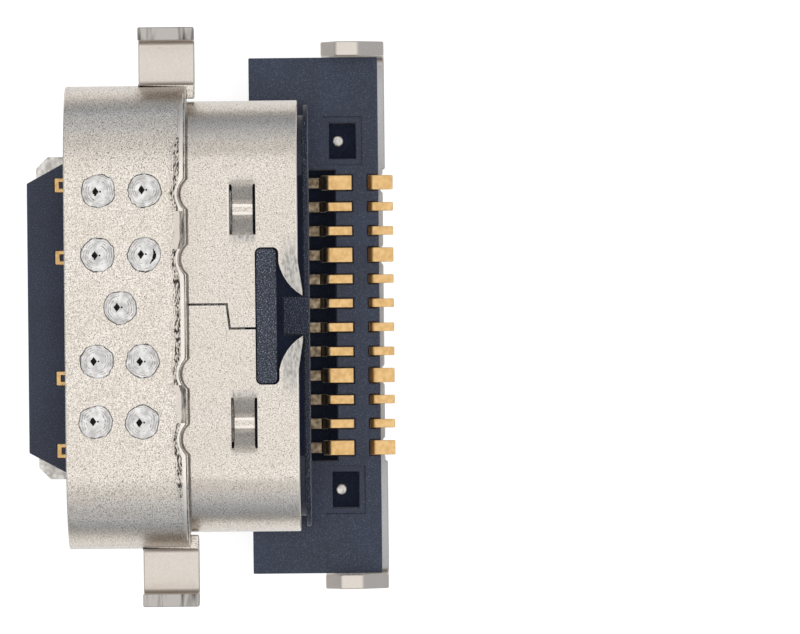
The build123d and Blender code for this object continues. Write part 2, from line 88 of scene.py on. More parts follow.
def apply_modifier(piece, kind, **settings):
    """Add a modifier with its settings and apply it to the mesh."""
    make_active(piece)
    modifier = piece.modifiers.new(kind.title(), kind)
    for name, value in settings.items():
        setattr(modifier, name, value)
    bpy.ops.object.modifier_apply(modifier=modifier.name)


def shrink_to_metres(piece):
    """Bring a piece that was made with a unit for a millimetre to its real size."""
    piece.data.transform(Matrix.Scale(MM, 4))
    piece.data.update()


def place_on_frame(piece, replaced=()):
    """Let a piece ride with the connector, and hide the CAD parts that it replaces."""
    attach(piece, "root")
    if replaced:
        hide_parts(*replaced)


# %% [markdown]
# ## Finishes
#
# Each finish is named for what the real one is, and the finishes that stand in for shade say
# painted shade. Colours are written as sRGB hex values, and patterns are sized in millimetres on
# Object coordinates, so they stay put on the metal.

# %% Colour and node helpers
def linear(hex_colour):
    """Turn an sRGB hex value into the linear colour that shaders work with."""
    values = [int(hex_colour[place:place + 2], 16) / 255 for place in (0, 2, 4)]
    return [v / 12.92 if v <= 0.04045 else ((v + 0.055) / 1.055) ** 2.4 for v in values] + [1.0]


def add_node(tree, kind, inputs=None, **settings):
    """Add one shader node, set it up, and link or fill its sockets."""
    node = tree.nodes.new(kind)
    for name, value in settings.items():
        setattr(node, name, value)
    for socket, value in (inputs or {}).items():
        if isinstance(value, bpy.types.NodeSocket):
            tree.links.new(value, node.inputs[socket])
        else:
            node.inputs[socket].default_value = value
    return node


def new_material(name):
    """Start an empty material and return it with its tree, output and Object coordinates."""
    material = bpy.data.materials.new(name)
    material.use_nodes = True
    tree = material.node_tree
    tree.nodes.clear()
    output = add_node(tree, "ShaderNodeOutputMaterial")
    place = add_node(tree, "ShaderNodeTexCoord").outputs["Object"]
    return material, tree, output, place


def grain(tree, place, size_mm, detail=2.0, roughness=0.5):
    """Noise with a grain to each size_mm."""
    node = add_node(tree, "ShaderNodeTexNoise", {
        "Vector": place,
        "Scale": 1 / (size_mm * MM),
        "Detail": detail,
        "Roughness": roughness,
    })
    return node.outputs["Fac"]


def remap(tree, value, low, high, to_low=0.0, to_high=1.0):
    """Stretch a value's range onto another, clamped."""
    node = add_node(tree, "ShaderNodeMapRange", {
        "Value": value,
        "From Min": low,
        "From Max": high,
        "To Min": to_low,
        "To Max": to_high,
    })
    return node.outputs["Result"]


def calculate(tree, operation, first, second=0.0):
    """The result of one operation on one or two values."""
    return add_node(tree, "ShaderNodeMath", {0: first, 1: second}, operation=operation).outputs[0]


def blend_colours(tree, share, first, second):
    """Mix two colours by a share from 0 to 1."""
    node = add_node(tree, "ShaderNodeMix", {"Factor": share}, data_type="RGBA")
    for socket, colour in ((6, first), (7, second)):
        if isinstance(colour, bpy.types.NodeSocket):
            tree.links.new(colour, node.inputs[socket])
        else:
            node.inputs[socket].default_value = colour
    return node.outputs[2]


def bump(tree, height, depth_mm, below=None):
    """Turn a height from 0 to 1 into a bump that is depth_mm deep."""
    inputs = {"Height": height, "Strength": 1.0, "Distance": depth_mm * MM}
    if below is not None:
        inputs["Normal"] = below
    return add_node(tree, "ShaderNodeBump", inputs).outputs["Normal"]


def stretched(tree, place, scale):
    """Coordinates that draw a pattern out along the directions that scale makes small."""
    return add_node(tree, "ShaderNodeMapping", {"Vector": place, "Scale": scale}).outputs["Vector"]


def finish_surface(tree, output, inputs):
    """Send a Principled surface with these inputs to the material's output."""
    shader = add_node(tree, "ShaderNodeBsdfPrincipled", inputs)
    tree.links.new(shader.outputs["BSDF"], output.inputs["Surface"])


print("the strap's light grey is", [round(v, 2) for v in linear("E6DFD6")[:3]])

# %% [markdown]
# ### Nickel-plated stainless sheet
#
# The two sheets are stamped from stainless strip with a matt rolled surface and plated with
# nickel, which gives the warm, slightly yellow grey. Up close it is sandy: fine grains with dark
# pits between them, over a shallow orange peel. The strap is sandier than the tube, and the parts
# that the press has ironed, such as the feet, are smooth. The tube is scratched grey where the press
# worked it hardest, on the horns beside the latch key. The ends of the two lance windows and the
# lances' ramps are painted a darker grey as painted shade, where the sheet dips.


# %% Nickel-plated sheet
LANCE_HALF = 0.56
LANCE_X = 2.18
LANCE_Y = -0.13
LANCE_SIDE = 0.22


def wear_and_lance_shade(tree, place):
    """How scratched a place is out on the horns, and how much painted shade lies at the ends of the
    lance windows.
    """
    parts = add_node(tree, "ShaderNodeSeparateXYZ", {0: place}).outputs
    out = calculate(tree, "ABSOLUTE", parts["X"])
    near_key = remap(tree, out, 1.75 * MM, 1.15 * MM)
    behind_key = remap(tree, parts["Y"], (datum_y + 0.62) * MM, (datum_y + 0.74) * MM)
    horns = calculate(tree, "MULTIPLY", near_key, behind_key)
    from_lance = calculate(tree, "ABSOLUTE", calculate(tree, "SUBTRACT", out, LANCE_X * MM))
    beyond_window = remap(tree, from_lance, (LANCE_HALF + 0.14) * MM, LANCE_HALF * MM)
    from_row = calculate(tree, "SUBTRACT", parts["Y"], (datum_y + LANCE_Y) * MM)
    in_row = remap(tree, calculate(tree, "ABSOLUTE", from_row), 0.30 * MM, LANCE_SIDE * MM)
    past_ramp = remap(tree, from_lance, (LANCE_HALF - 0.12) * MM, (LANCE_HALF - 0.06) * MM)
    # Painted shade at the ends of the lance windows, where the sheet dips.
    lance_end_shade = calculate(tree, "MULTIPLY", calculate(tree, "MULTIPLY", beyond_window, past_ramp), in_row)
    on_sheet = remap(tree, parts["Z"], (tube_top_z - 0.4) * MM, (tube_top_z - 0.3) * MM)
    return calculate(tree, "MULTIPLY", calculate(tree, "MAXIMUM", horns, lance_end_shade), on_sheet)


def nickel_sheet(name, light, dark, rough, pit_share, grain_depth_mm, peel_depth_mm, rubbed_and_shaded=None):
    """A matt plated sheet, sandy and pitted, with scratched patches and painted shade where the given
    mask puts them.
    """
    material, tree, output, place = new_material(name)
    sand = grain(tree, place, 0.027, detail=2.0, roughness=0.7)
    pits = grain(tree, place, 0.022, detail=0.0)
    peel = grain(tree, place, 0.20, detail=1.0)
    clouds = grain(tree, place, 1.2, detail=2.0)
    sandy = blend_colours(tree, remap(tree, sand, 0.34, 0.62), linear(dark), linear(light))
    pitted = blend_colours(tree, remap(tree, pits, 0.25, 0.36, pit_share, 0.0), sandy, linear("55504A"))
    sheet_colour = blend_colours(tree, remap(tree, clouds, 0.38, 0.68, 0.0, 0.2), pitted, linear("BFB2A4"))
    # On the tube the scratched grey marks wear on the horns and is painted shade at the lance ends.
    if rubbed_and_shaded is not None:
        drawn = stretched(tree, place, (0.35, 1, 1))
        scratches = remap(tree, grain(tree, drawn, 0.05, detail=3.0), 0.34, 0.60)
        worn_and_shaded_grey = blend_colours(tree, scratches, linear("86837F"), linear("B6B3AE"))
        sheet_colour = blend_colours(tree, rubbed_and_shaded(tree, place), sheet_colour, worn_and_shaded_grey)
    normal = bump(tree, peel, peel_depth_mm)
    normal = bump(tree, sand, grain_depth_mm, normal)
    finish_surface(tree, output, {
        "Base Color": sheet_colour,
        "Metallic": 1.0,
        "Roughness": remap(tree, sand, 0.3, 0.7, rough + 0.06, rough - 0.04),
        "Normal": normal,
    })
    return material


strap_sheet = nickel_sheet("nickel_plated_strap_sheet", "E6DFD6", "AAA298", 0.30, 0.95, 0.0022, 0.004)
tube_sheet = nickel_sheet(
    "nickel_plated_tube_sheet", "DDD6CD", "ADA59C", 0.25, 0.75, 0.0017, 0.004, rubbed_and_shaded=wear_and_lance_shade
)
ironed_sheet = nickel_sheet("ironed_nickel_plate", "CEC6BE", "C5BDB5", 0.38, 0.0, 0.0006, 0.002)
# A darker grey for the lances' ramps and the rounds at their ends, as painted shade.
shaded_lance_ramp = nickel_sheet("lance_ramp_painted_shade", "BDB6AE", "8F8982", 0.35, 0.6, 0.0020, 0.004)
shaded_sheet = nickel_sheet("shaded_inside_of_cover", "A9AAAC", "9FA0A3", 0.38, 0.0, 0.0006, 0.002)
sheared_edge = nickel_sheet("sheared_and_plated_edge", "E3DDD6", "D2CBC3", 0.27, 0.0, 0.0010, 0.002)
print("made", strap_sheet.name, "and five others")

# %% [markdown]
# ### Sheared and burred metal
#
# Where the punch broke through, the metal is grey and scored across its thickness. Along the
# strap's rear edge the blunt punch also dragged a crumbly band behind it; its dark is painted
# shade of the band's tilted surface.


# %% Scored shear face and crumbly band
def scored_metal(name, light, dark, rough, stretch, size_mm, low, high, depth_mm):
    """Grey metal broken into light and dark scores, which stretch draws out."""
    material, tree, output, place = new_material(name)
    scores = grain(tree, stretched(tree, place, stretch), size_mm, detail=2.0, roughness=0.6)
    share = remap(tree, scores, low, high)
    finish_surface(tree, output, {
        "Base Color": blend_colours(tree, share, linear(dark), linear(light)),
        "Metallic": 1.0,
        "Roughness": rough,
        "Normal": bump(tree, scores, depth_mm),
    })
    return material


scored_face = scored_metal(
    "scored_shear_face", "B4AFAA", "47433F", 0.5, (0.12, 1, 0.3), 0.16, 0.30, 0.52, 0.004
)
# The crumbly band's dark specks are painted shade of its tilt, laid over its crumbly grain.
crumbled_shaded_band = scored_metal(
    "crumbled_burr_band_painted_shade", "CFC6BC", "34302E", 0.45, (0.35, 1, 1), 0.030, 0.43, 0.58, 0.006
)
torn_edge = scored_metal(
    "torn_grey_edge", "B3ABA3", "5C5652", 0.5, (0.25, 1, 1), 0.06, 0.36, 0.62, 0.004
)
print("made", scored_face.name, "and two others")

# %% [markdown]
# ### Laser weld
#
# A laser spot melts the plated steel and it freezes in rings. The skin is bright and smooth, a
# little bluer than the sheet, with a black pinhole where the keyhole closed.


# %% Laser weld metal
def weld_metal():
    """Bright remelted steel with fine frozen ripples."""
    material, tree, output, place = new_material("laser_weld_bright_steel")
    wisps = grain(tree, place, 0.14, detail=3.0)
    colour = blend_colours(tree, remap(tree, wisps, 0.35, 0.65), linear("B2B0AE"), linear("D6D4D2"))
    finish_surface(tree, output, {
        "Base Color": colour,
        "Metallic": 1.0,
        "Roughness": remap(tree, wisps, 0.3, 0.7, 0.38, 0.24),
        "Normal": bump(tree, wisps, 0.005),
    })
    return material


def plain_metal(name, light, dark, rough, grain_mm, depth_mm):
    """A metal whose colour and gloss vary over fine grains."""
    material, tree, output, place = new_material(name)
    fine = grain(tree, place, grain_mm, detail=2.0)
    finish_surface(tree, output, {
        "Base Color": blend_colours(tree, remap(tree, fine, 0.35, 0.65), linear(dark), linear(light)),
        "Metallic": 1.0,
        "Roughness": remap(tree, fine, 0.3, 0.7, rough + 0.07, rough - 0.05),
        "Normal": bump(tree, fine, depth_mm),
    })
    return material


bright_weld = weld_metal()
keyhole_oxide = plain_metal("keyhole_oxide", "2A2726", "141312", 0.6, 0.03, 0.002)
ripple_grey = plain_metal("weld_ripple_grey", "B5B1AE", "8F8B88", 0.35, 0.05, 0.002)
burnt_outline = plain_metal("weld_burnt_outline", "6B6663", "45413F", 0.45, 0.05, 0.002)
gold_plate = plain_metal("gold_flash_over_nickel", "D5B17C", "C8A26B", 0.34, 0.10, 0.001)
# A dim brown for the contacts' run down in the trough: painted shade.
shaded_contact_run = plain_metal("dim_brown_contact_painted_shade", "A3927A", "6E6050", 0.45, 0.10, 0.001)
core_steel = plain_metal("bare_stainless_core", "CFCBC6", "A9A5A0", 0.36, 0.08, 0.002)
print("made the weld, gold and bare steel finishes")

# %% [markdown]
# ### Glass-filled moulding
#
# The housing is a liquid-crystal polymer with short glass fibres: blue-black, faintly glossy,
# and peppered with pale specks where fibre ends lie at the skin. Its deep and shaded places, and
# the contact carriers inside it, are painted darker and less glossy, as painted shade.


# %% Glass-filled liquid-crystal polymer
def filled_polymer(name, body, flow_tone, speck, speck_share, skin_depth_mm, gloss=0.4):
    """Dark moulded plastic with pale fibre ends and a softly uneven skin."""
    material, tree, output, place = new_material(name)
    flow = grain(tree, place, 0.9, detail=2.0)
    fibres = grain(tree, place, 0.024, detail=1.0, roughness=0.7)
    skin = grain(tree, place, 0.12, detail=2.0)
    base = blend_colours(tree, remap(tree, flow, 0.35, 0.65), linear(body), linear(flow_tone))
    specked = blend_colours(tree, remap(tree, fibres, 0.55, 0.75, 0.0, speck_share), base, linear(speck))
    finish_surface(tree, output, {
        "Base Color": specked,
        "Roughness": remap(tree, fibres, 0.3, 0.7, 0.62, 0.45),
        "Normal": bump(tree, fibres, skin_depth_mm / 2, bump(tree, skin, skin_depth_mm)),
        "Specular IOR Level": gloss,
    })
    return material


black_polymer = filled_polymer("glass_filled_polymer_black", "293145", "232A3B", "717B92", 0.35, 0.002)
key_polymer = filled_polymer("glass_filled_polymer_fibrous", "202736", "191F2C", "A4ACBF", 0.85, 0.005)
# The next two finishes are painted shade: darker and less glossy copies of the black for shaded and for
# deep places.
shaded_polymer = filled_polymer(
    "glass_filled_polymer_shaded", "151B29", "0F1420", "7A829A", 0.7, 0.004, gloss=0.2
)
deep_shade_polymer = filled_polymer(
    "glass_filled_polymer_deep_painted_shade", "131D35", "0E172B", "4A5470", 0.3, 0.002, gloss=0.12
)
# The contact carriers are painted as dark as the deep shade around them.
shaded_carrier_polymer = filled_polymer(
    "glass_filled_polymer_carrier_painted_shade", "0E1424", "0A0F1B", "3A4258", 0.3, 0.002, gloss=0.12
)
print("made the five moulding finishes")

# %% [markdown]
# ## Dressing a solid
#
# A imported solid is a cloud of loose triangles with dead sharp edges. The copy is welded into one
# mesh and its flat faces are merged, then each edge that turns sharply gets a small round, which
# is what catches the light on a real stamping. The rounds take a second material where the edge
# was sheared.


# %% Copy a solid and soften its edges
MERGE_MM = 0.0005
FLAT_DEG = 0.5
SHARP_DEG = 25
SMOOTH_DEG = 38
ROUND_MM = 0.03
WIDEST_ROUND_MM = 0.12


def copy_solid(node_name, piece_name):
    """Copy a CAD node's mesh into a new piece, in millimetres, as one closed mesh."""
    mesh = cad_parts[node_name].data.copy()
    mesh.transform(Matrix.Scale(1 / MM, 4))
    mesh.materials.clear()
    for layer in list(mesh.uv_layers):
        mesh.uv_layers.remove(layer)
    piece = bpy.data.objects.new(piece_name, mesh)
    bpy.context.scene.collection.objects.link(piece)
    make_active(piece)
    bpy.ops.object.mode_set(mode="EDIT")
    bpy.ops.mesh.select_all(action="SELECT")
    bpy.ops.mesh.remove_doubles(threshold=MERGE_MM)
    bpy.ops.mesh.customdata_custom_splitnormals_clear()
    bpy.ops.mesh.dissolve_limited(angle_limit=math.radians(FLAT_DEG))
    bpy.ops.object.mode_set(mode="OBJECT")
    return piece


def weigh_edges(piece, round_at):
    """Mark each edge that turns sharply with the round that round_at gives for its middle."""
    mesh = piece.data
    beside = {}
    for polygon in mesh.polygons:
        for key in polygon.edge_keys:
            beside.setdefault(key, []).append(polygon.normal)
    weights = mesh.attributes.new("bevel_weight_edge", "FLOAT", "EDGE")
    for edge in mesh.edges:
        normals = beside.get(edge.key, [])
        if len(normals) == 2 and normals[0].angle(normals[1], 0) > math.radians(SHARP_DEG):
            middle = (mesh.vertices[edge.vertices[0]].co + mesh.vertices[edge.vertices[1]].co) / 2
            weights.data[edge.index].value = round_at(middle) / WIDEST_ROUND_MM


def soften(piece, round_at, segments, materials, rim=None):
    """Give a piece its materials, round its sharp edges, and finish the rounds with rim if any."""
    for material in materials:
        piece.data.materials.append(material)
    weigh_edges(piece, round_at)
    apply_modifier(
        piece,
        "BEVEL",
        width=WIDEST_ROUND_MM,
        segments=segments,
        limit_method="WEIGHT",
        use_clamp_overlap=False,
        material=materials.index(rim) if rim else -1,
    )
    make_active(piece)
    bpy.ops.object.shade_smooth_by_angle(angle=math.radians(SMOOTH_DEG))
    apply_modifier(piece, "WEIGHTED_NORMAL", keep_sharp=True, weight=100)


def paint(piece, material, chosen):
    """Give a material to the faces whose middle and normal the test chosen picks."""
    index = list(piece.data.materials).index(material)
    for polygon in piece.data.polygons:
        if chosen(polygon.center, polygon.normal):
            polygon.material_index = index


def complete(piece, node_name, slot, materials, round_at, segments=2, rim=None, painted=()):
    """Soften and paint a copied solid, and let it stand for its CAD node."""
    soften(piece, round_at, segments, materials, rim)
    for material, chosen in painted:
        paint(piece, material, chosen)
    shrink_to_metres(piece)
    place_on_frame(piece, [node_name])


def dress(node_name, piece_name, slot, materials, round_at, **finish):
    """The whole way from a CAD node to a finished piece that stands for it."""
    piece = copy_solid(node_name, piece_name)
    complete(piece, node_name, slot, materials, round_at, **finish)
    return piece


def even(round_mm):
    """The same round for every sharp edge."""
    return lambda middle: round_mm


def between(value, limits):
    """Whether a value lies between a low and a high limit."""
    return limits[0] < value < limits[1]


print("a press round is", ROUND_MM, "mm, and no round is wider than", WIDEST_ROUND_MM, "mm")


# %% [markdown]
# ## Sheets, moulding and contacts

# %% Dress the rolled tube with its cover plate
SHEET_REACH = 0.35
LANCE_FLAT_HALF = 0.35
LANCE_END_ROUND = 0.09
LANCE_SIDE_ROUND = 0.015
KEY_SLOT_HALF = 1.6
KEY_SLOT_ROUND = 0.012
RELIEF_SLOT_X = (2.5, 2.8)
COVER_START = 1.0


def in_lance_row(middle):
    """Whether a place lies in the narrow strip of the tube's top that holds the two lances."""
    return abs(middle.y - datum_y - LANCE_Y) < LANCE_SIDE + 0.05 and middle.z > tube_top_z - 0.4


def on_ramp(middle, normal):
    """Whether a face belongs to a lance's ramps or to the rounds at their far ends."""
    from_lance = abs(abs(middle.x) - LANCE_X)
    at_end = LANCE_FLAT_HALF < from_lance < 0.70 and normal.z > 0.4
    on_slope = from_lance <= LANCE_FLAT_HALF and 0.4 < normal.z < 0.97
    return in_lance_row(middle) and (at_end or on_slope)


def on_cover(middle, normal):
    """Whether a face belongs to the cover plate, which the press ironed."""
    return middle.y > datum_y + COVER_START


def inside_cover(middle, normal):
    """Whether a face is the cover's inner side, which shows as a strip behind the tails."""
    return middle.y > datum_y + 0.5 and middle.z < SHEET_REACH and normal.z > 0.9


def tube_round(middle):
    """The round of an edge of the tube, with none in the cover's narrow relief slots."""
    if middle.z < SHEET_REACH and between(abs(middle.x), RELIEF_SLOT_X):
        return 0.0
    if in_lance_row(middle) and abs(abs(middle.x) - LANCE_X) < LANCE_HALF:
        from_side = abs(abs(middle.y - datum_y - LANCE_Y) - LANCE_SIDE)
        return LANCE_END_ROUND if from_side > 0.06 else LANCE_SIDE_ROUND
    if middle.z > tube_top_z - SHEET_REACH and abs(middle.x) < KEY_SLOT_HALF:
        return KEY_SLOT_ROUND
    return ROUND_MM


tube_piece = dress(
    "shell",
    "rolled_tube_and_cover",
    "plated_steel",
    [tube_sheet, sheared_edge, ironed_sheet, shaded_lance_ramp, shaded_sheet],
    tube_round,
    segments=3,
    rim=sheared_edge,
    # The lances' ramps and end rounds take painted shade.
    painted=[(shaded_lance_ramp, on_ramp), (ironed_sheet, on_cover), (shaded_sheet, inside_cover)],
)
print(tube_piece.name, len(tube_piece.data.polygons), "faces")

# %% [markdown]
# ## The strap and its dragged rear edge
#
# The strap was cut with a blunt punch, so its wavy rear edge has a profile of its own: a crumbly
# band, a bright lip, a dark round and a flared fracture below it. The strap is dressed like the
# other solids, and a thin skin with that profile is drawn over its edge: one grid, whose columns
# follow the outline and whose rows follow the profile.

# %% Weld places and the strap's outer surface
MIDDLE_WELD = (-0.20, -2.66)
WELD_COLUMNS = (-2.60, -1.29, 0.90, 2.15)
WELD_ROWS = (-3.13, -2.18)
WELD_SKEW = 0.02
WELD_BEAD_RADIUS = 0.36
STRAP_RADIUS = 1.86
STRAP_HALF_WIDTH = 4.80
STRAP_TO_DATUM = 1.29
weld_places = [MIDDLE_WELD] + [(x, y - WELD_SKEW * x) for x in WELD_COLUMNS for y in WELD_ROWS]
strap_axis_z = strap_top_z - STRAP_RADIUS
strap_flat_half = STRAP_HALF_WIDTH - STRAP_RADIUS
strap_rear_y = datum_y - STRAP_TO_DATUM


def unroll(point):
    """A point of the strap as (distance along the sheet, y, depth under the outer surface)."""
    beyond = abs(point.x) - strap_flat_half
    if beyond <= 0:
        return Vector((point.x, point.y, strap_top_z - point.z))
    turn = math.atan2(beyond, point.z - strap_axis_z)
    depth = STRAP_RADIUS - math.hypot(beyond, point.z - strap_axis_z)
    return Vector((math.copysign(strap_flat_half + STRAP_RADIUS * turn, point.x), point.y, depth))


def roll(place):
    """The point of the strap for such a place."""
    beyond = abs(place.x) - strap_flat_half
    if beyond <= 0:
        return Vector((place.x, place.y, strap_top_z - place.z))
    turn = beyond / STRAP_RADIUS
    out = STRAP_RADIUS - place.z
    x = math.copysign(strap_flat_half + out * math.sin(turn), place.x)
    return Vector((x, place.y, strap_axis_z + out * math.cos(turn)))


def on_weld(point):
    """Whether a point belongs to the CAD weld beads, which the modelled welds cover."""
    if point.z < strap_top_z - 0.1:
        return False
    offsets = [(point.x - x, point.y - datum_y - y) for x, y in weld_places]
    return any(math.hypot(*offset) < WELD_BEAD_RADIUS for offset in offsets)


print("places for", len(weld_places), "welds")


# %% Dress the strap
LEDGE_Z = 0.30
UNDER_SKIN_ROUND = 0.01
FOOT_TIP = 0.26
arm_x = STRAP_HALF_WIDTH + 0.01
skin_end_z = strap_axis_z + 0.75


def strap_round(middle):
    """The round of an edge: none on the ledge beside an arm, and a small one under the skin."""
    if abs(middle.x) > 4.74 and abs(middle.z - strap_axis_z - LEDGE_Z) < 0.02:
        return 0.0
    if middle.z > skin_end_z and -0.2 < middle.y - strap_rear_y < 0.1:
        return UNDER_SKIN_ROUND
    return ROUND_MM


def on_ironed_part(middle, normal):
    """Whether a face lies on a foot or on the strap's straight sides."""
    return abs(middle.x) > arm_x or middle.z < strap_axis_z - 0.1


def on_foot_tip(middle, normal):
    """Whether a face is the sheared top of a foot's tip."""
    return abs(middle.x) > foot_span / 2 - FOOT_TIP and normal.z > 0.6


def on_foot_side(middle, normal):
    """Whether a face is a sheared side of a foot."""
    return abs(middle.x) > arm_x and abs(normal.y) > 0.8


strap_piece = copy_solid("reinforcing_bracket", "welded_strap")
for vertex in strap_piece.data.vertices:
    if on_weld(vertex.co) and vertex.co.z > strap_top_z - WELD_BEAD_HEIGHT:
        vertex.co.z = strap_top_z
rear_points = []
for edge in strap_piece.data.edges:
    ends = [strap_piece.data.vertices[index].co for index in edge.vertices]
    places = [unroll(end) for end in ends]
    high_enough = all(end.z > skin_end_z for end in ends)
    on_edge = all(-0.17 < place.y - strap_rear_y < 0.01 and abs(place.z) < 0.004 for place in places)
    if high_enough and on_edge and abs(places[0].x - places[1].x) > 0.002:
        rear_points += [(place.x, place.y) for place in places]
rear_points = sorted(set((round(x, 4), round(y, 4)) for x, y in rear_points))
complete(
    strap_piece,
    "reinforcing_bracket",
    "plated_steel",
    [strap_sheet, ironed_sheet, scored_face],
    strap_round,
    segments=3,
    painted=[(ironed_sheet, on_ironed_part), (scored_face, on_foot_tip), (scored_face, on_foot_side)],
)
print(strap_piece.name, len(strap_piece.data.polygons), "faces")
print("rear outline of", len(rear_points), "points")

# %% Draw the skin over the rear edge
EDGE_PROFILE = [
    (0.290, -0.006), (0.270, 0.004), (0.240, 0.006), (0.210, 0.006), (0.180, 0.006), (0.150, 0.005),
    (0.125, 0.007), (0.105, 0.014), (0.075, 0.018), (0.042, 0.015), (0.020, 0.000), (0.000, -0.040),
    (-0.006, -0.110), (-0.028, -0.200), (-0.045, -0.276),
]
BAND_ROWS = (2, 6)
LIP_ROWS = (6, 9)
BAND_MIDDLE = 0.115
BAND_END = 3.9
BAND_FADE = 0.5
TORN_ALONG = (1.40, 2.18)
SKIN_STEP = 0.02
SKIN_THICKNESS = 0.008
SCALLOP_DEPTH = 0.15
SMOOTHED_BEYOND = 0.15
SMOOTHED_COLUMNS = 6
SKIN_FINISHES = [strap_sheet, sheared_edge, crumbled_shaded_band, torn_edge, ironed_sheet]


def clamped(value):
    """The value kept from 0 to 1."""
    return min(1.0, max(0.0, value))


def rear_y(along):
    """The rear outline's y at one place along the sheet."""
    for (start_x, start_y), (end_x, end_y) in zip(rear_points, rear_points[1:]):
        if along <= end_x:
            return start_y + (end_y - start_y) * (along - start_x) / (end_x - start_x)
    return rear_points[-1][1]


def band_share(along):
    """How wide the crumbly band is: full over the flat, and gone where the sheet rolls away."""
    return clamped((BAND_END - abs(along)) / BAND_FADE)


def skin_finish(first_row, last_row, along):
    """The finish of a face between two rows of the profile, at one place along the sheet."""
    torn = between(abs(along), TORN_ALONG)
    # The band's rows take the crumbly finish with its painted shade.
    if first_row >= BAND_ROWS[0] and last_row <= BAND_ROWS[1] and band_share(along) > 0.3:
        return ironed_sheet if torn else crumbled_shaded_band
    if first_row >= LIP_ROWS[0] and last_row <= LIP_ROWS[1]:
        return torn_edge if torn else sheared_edge
    return torn_edge if first_row >= LIP_ROWS[1] else strap_sheet


first_along = rear_points[0][0]
columns = int((rear_points[-1][0] - first_along) / SKIN_STEP)
outline = [rear_y(first_along + SKIN_STEP * column) for column in range(columns + 1)]
deselect_all()
bpy.ops.mesh.primitive_grid_add(x_subdivisions=columns, y_subdivisions=len(EDGE_PROFILE) - 1, size=2)
skin = bpy.context.active_object
skin.name = "dragged_rear_edge"
for vertex in skin.data.vertices:
    column = round((vertex.co.x + 1) / 2 * columns)
    row = round((vertex.co.y + 1) / 2 * (len(EDGE_PROFILE) - 1))
    along = first_along + SKIN_STEP * column
    back, height = EDGE_PROFILE[row]
    share = band_share(along)
    notch = clamped((strap_rear_y - outline[column]) / SCALLOP_DEPTH)
    nearby = outline[max(0, column - SMOOTHED_COLUMNS):column + SMOOTHED_COLUMNS + 1]
    smooth = clamped(back / SMOOTHED_BEYOND)
    edge_y = (1 - smooth) * outline[column] + smooth * sum(nearby) / len(nearby)
    if row <= BAND_ROWS[1]:
        wander = noise.noise(Vector((along * 6, 0.5, 2.0)))
        crumbs = noise.noise(Vector((along * 14, back * 40, 7.0)))
        back = BAND_MIDDLE + (back - BAND_MIDDLE) * (0.25 + 0.75 * share) * (1 + 0.35 * wander)
        height += 0.010 * crumbs * share if row > 0 else 0
    back *= 1 - 0.35 * notch if back > 0 else 1
    vertex.co = roll(Vector((along, edge_y - back, -height)))
for material in SKIN_FINISHES:
    skin.data.materials.append(material)
for polygon in skin.data.polygons:
    rows = [vertex // (columns + 1) for vertex in polygon.vertices]
    finish = skin_finish(min(rows), max(rows), unroll(polygon.center).x)
    polygon.use_smooth = True
    polygon.material_index = SKIN_FINISHES.index(finish)
apply_modifier(skin, "SOLIDIFY", thickness=SKIN_THICKNESS, offset=-1)
shrink_to_metres(skin)
place_on_frame(skin)
print(skin.name, len(skin.data.polygons), "faces")

# %% Dress the moulding, its core and its carriers
HOUSING_ROUND = 0.022
CARRIER_ROUND = 0.012
CORE_ROUND = 0.015
SHIELD_ROUND = 0.010
KEY_HALF = 1.5
KEY_DEPTH = 0.6
KEY_TOP_Y = (0.05, 0.56)
KEY_STEP_Y = (0.56, 0.62)
KEY_NECK_Y = (0.62, 1.22)
PIT_X = (3.2, 4.0)
PIT_Y = (1.62, 2.24)
PIT_Z = (1.3, 1.83)
COLLAR_Y = (1.0, 1.215)
COLLAR_Z = 2.0
TROUGH_HALF = 3.05
TROUGH_Y = (1.15, 1.66)
TROUGH_Z = (1.0, 1.32)


def along_key(limits):
    """A test for the faces of the latch key whose y from the datum lies between two limits."""
    def chosen(middle, normal):
        beside = abs(middle.x) < KEY_HALF and middle.z > tube_top_z - KEY_DEPTH
        return beside and between(middle.y - datum_y, limits)
    return chosen


def under_key(middle, normal):
    """Whether a face is the deep floor that shows around the latch key."""
    return along_key(KEY_TOP_Y)(middle, normal) and middle.z < tube_top_z - 0.2 and normal.z > 0.9


def in_pit(middle, normal):
    """Whether a face lies inside one of the two pits around the nubs."""
    beside = between(abs(middle.x), PIT_X) and between(middle.z, PIT_Z)
    return beside and between(middle.y - datum_y, PIT_Y)


def on_collar(middle, normal):
    """Whether a face lies on the rim of the collar behind the tube."""
    return between(middle.y - datum_y, COLLAR_Y) and middle.z > COLLAR_Z and normal.y < 0.5


def in_trough(middle, normal):
    """Whether a face lies down in the trough under the inner tails."""
    beside = abs(middle.x) < TROUGH_HALF and between(middle.z, TROUGH_Z)
    return beside and between(middle.y - datum_y, TROUGH_Y)


housing_piece = dress(
    "housing",
    "moulded_housing",
    "black_resin",
    [black_polymer, key_polymer, shaded_polymer, deep_shade_polymer],
    even(HOUSING_ROUND),
    # The collar and the key's neck take the shaded copy of the black, and the trough, the key's step,
    # the floor under the key and the pits take the deep copy: both are painted shade.
    painted=[
        (shaded_polymer, on_collar),
        (deep_shade_polymer, in_trough),
        (key_polymer, along_key(KEY_TOP_Y)),
        (shaded_polymer, along_key(KEY_NECK_Y)),
        (deep_shade_polymer, along_key(KEY_STEP_Y)),
        (deep_shade_polymer, under_key),
        (deep_shade_polymer, in_pit),
    ],
)
housing_piece.visible_glossy = False
dress("upper_contact_carrier", "upper_carrier", "carrier_resin", [shaded_carrier_polymer], even(CARRIER_ROUND))
dress("lower_contact_carrier", "lower_carrier", "carrier_resin", [shaded_carrier_polymer], even(CARRIER_ROUND))
dress("mid_plate", "steel_core", "core_steel", [core_steel], even(CORE_ROUND))
dress("upper_ground_shield", "upper_shield", "core_steel", [core_steel], even(SHIELD_ROUND))
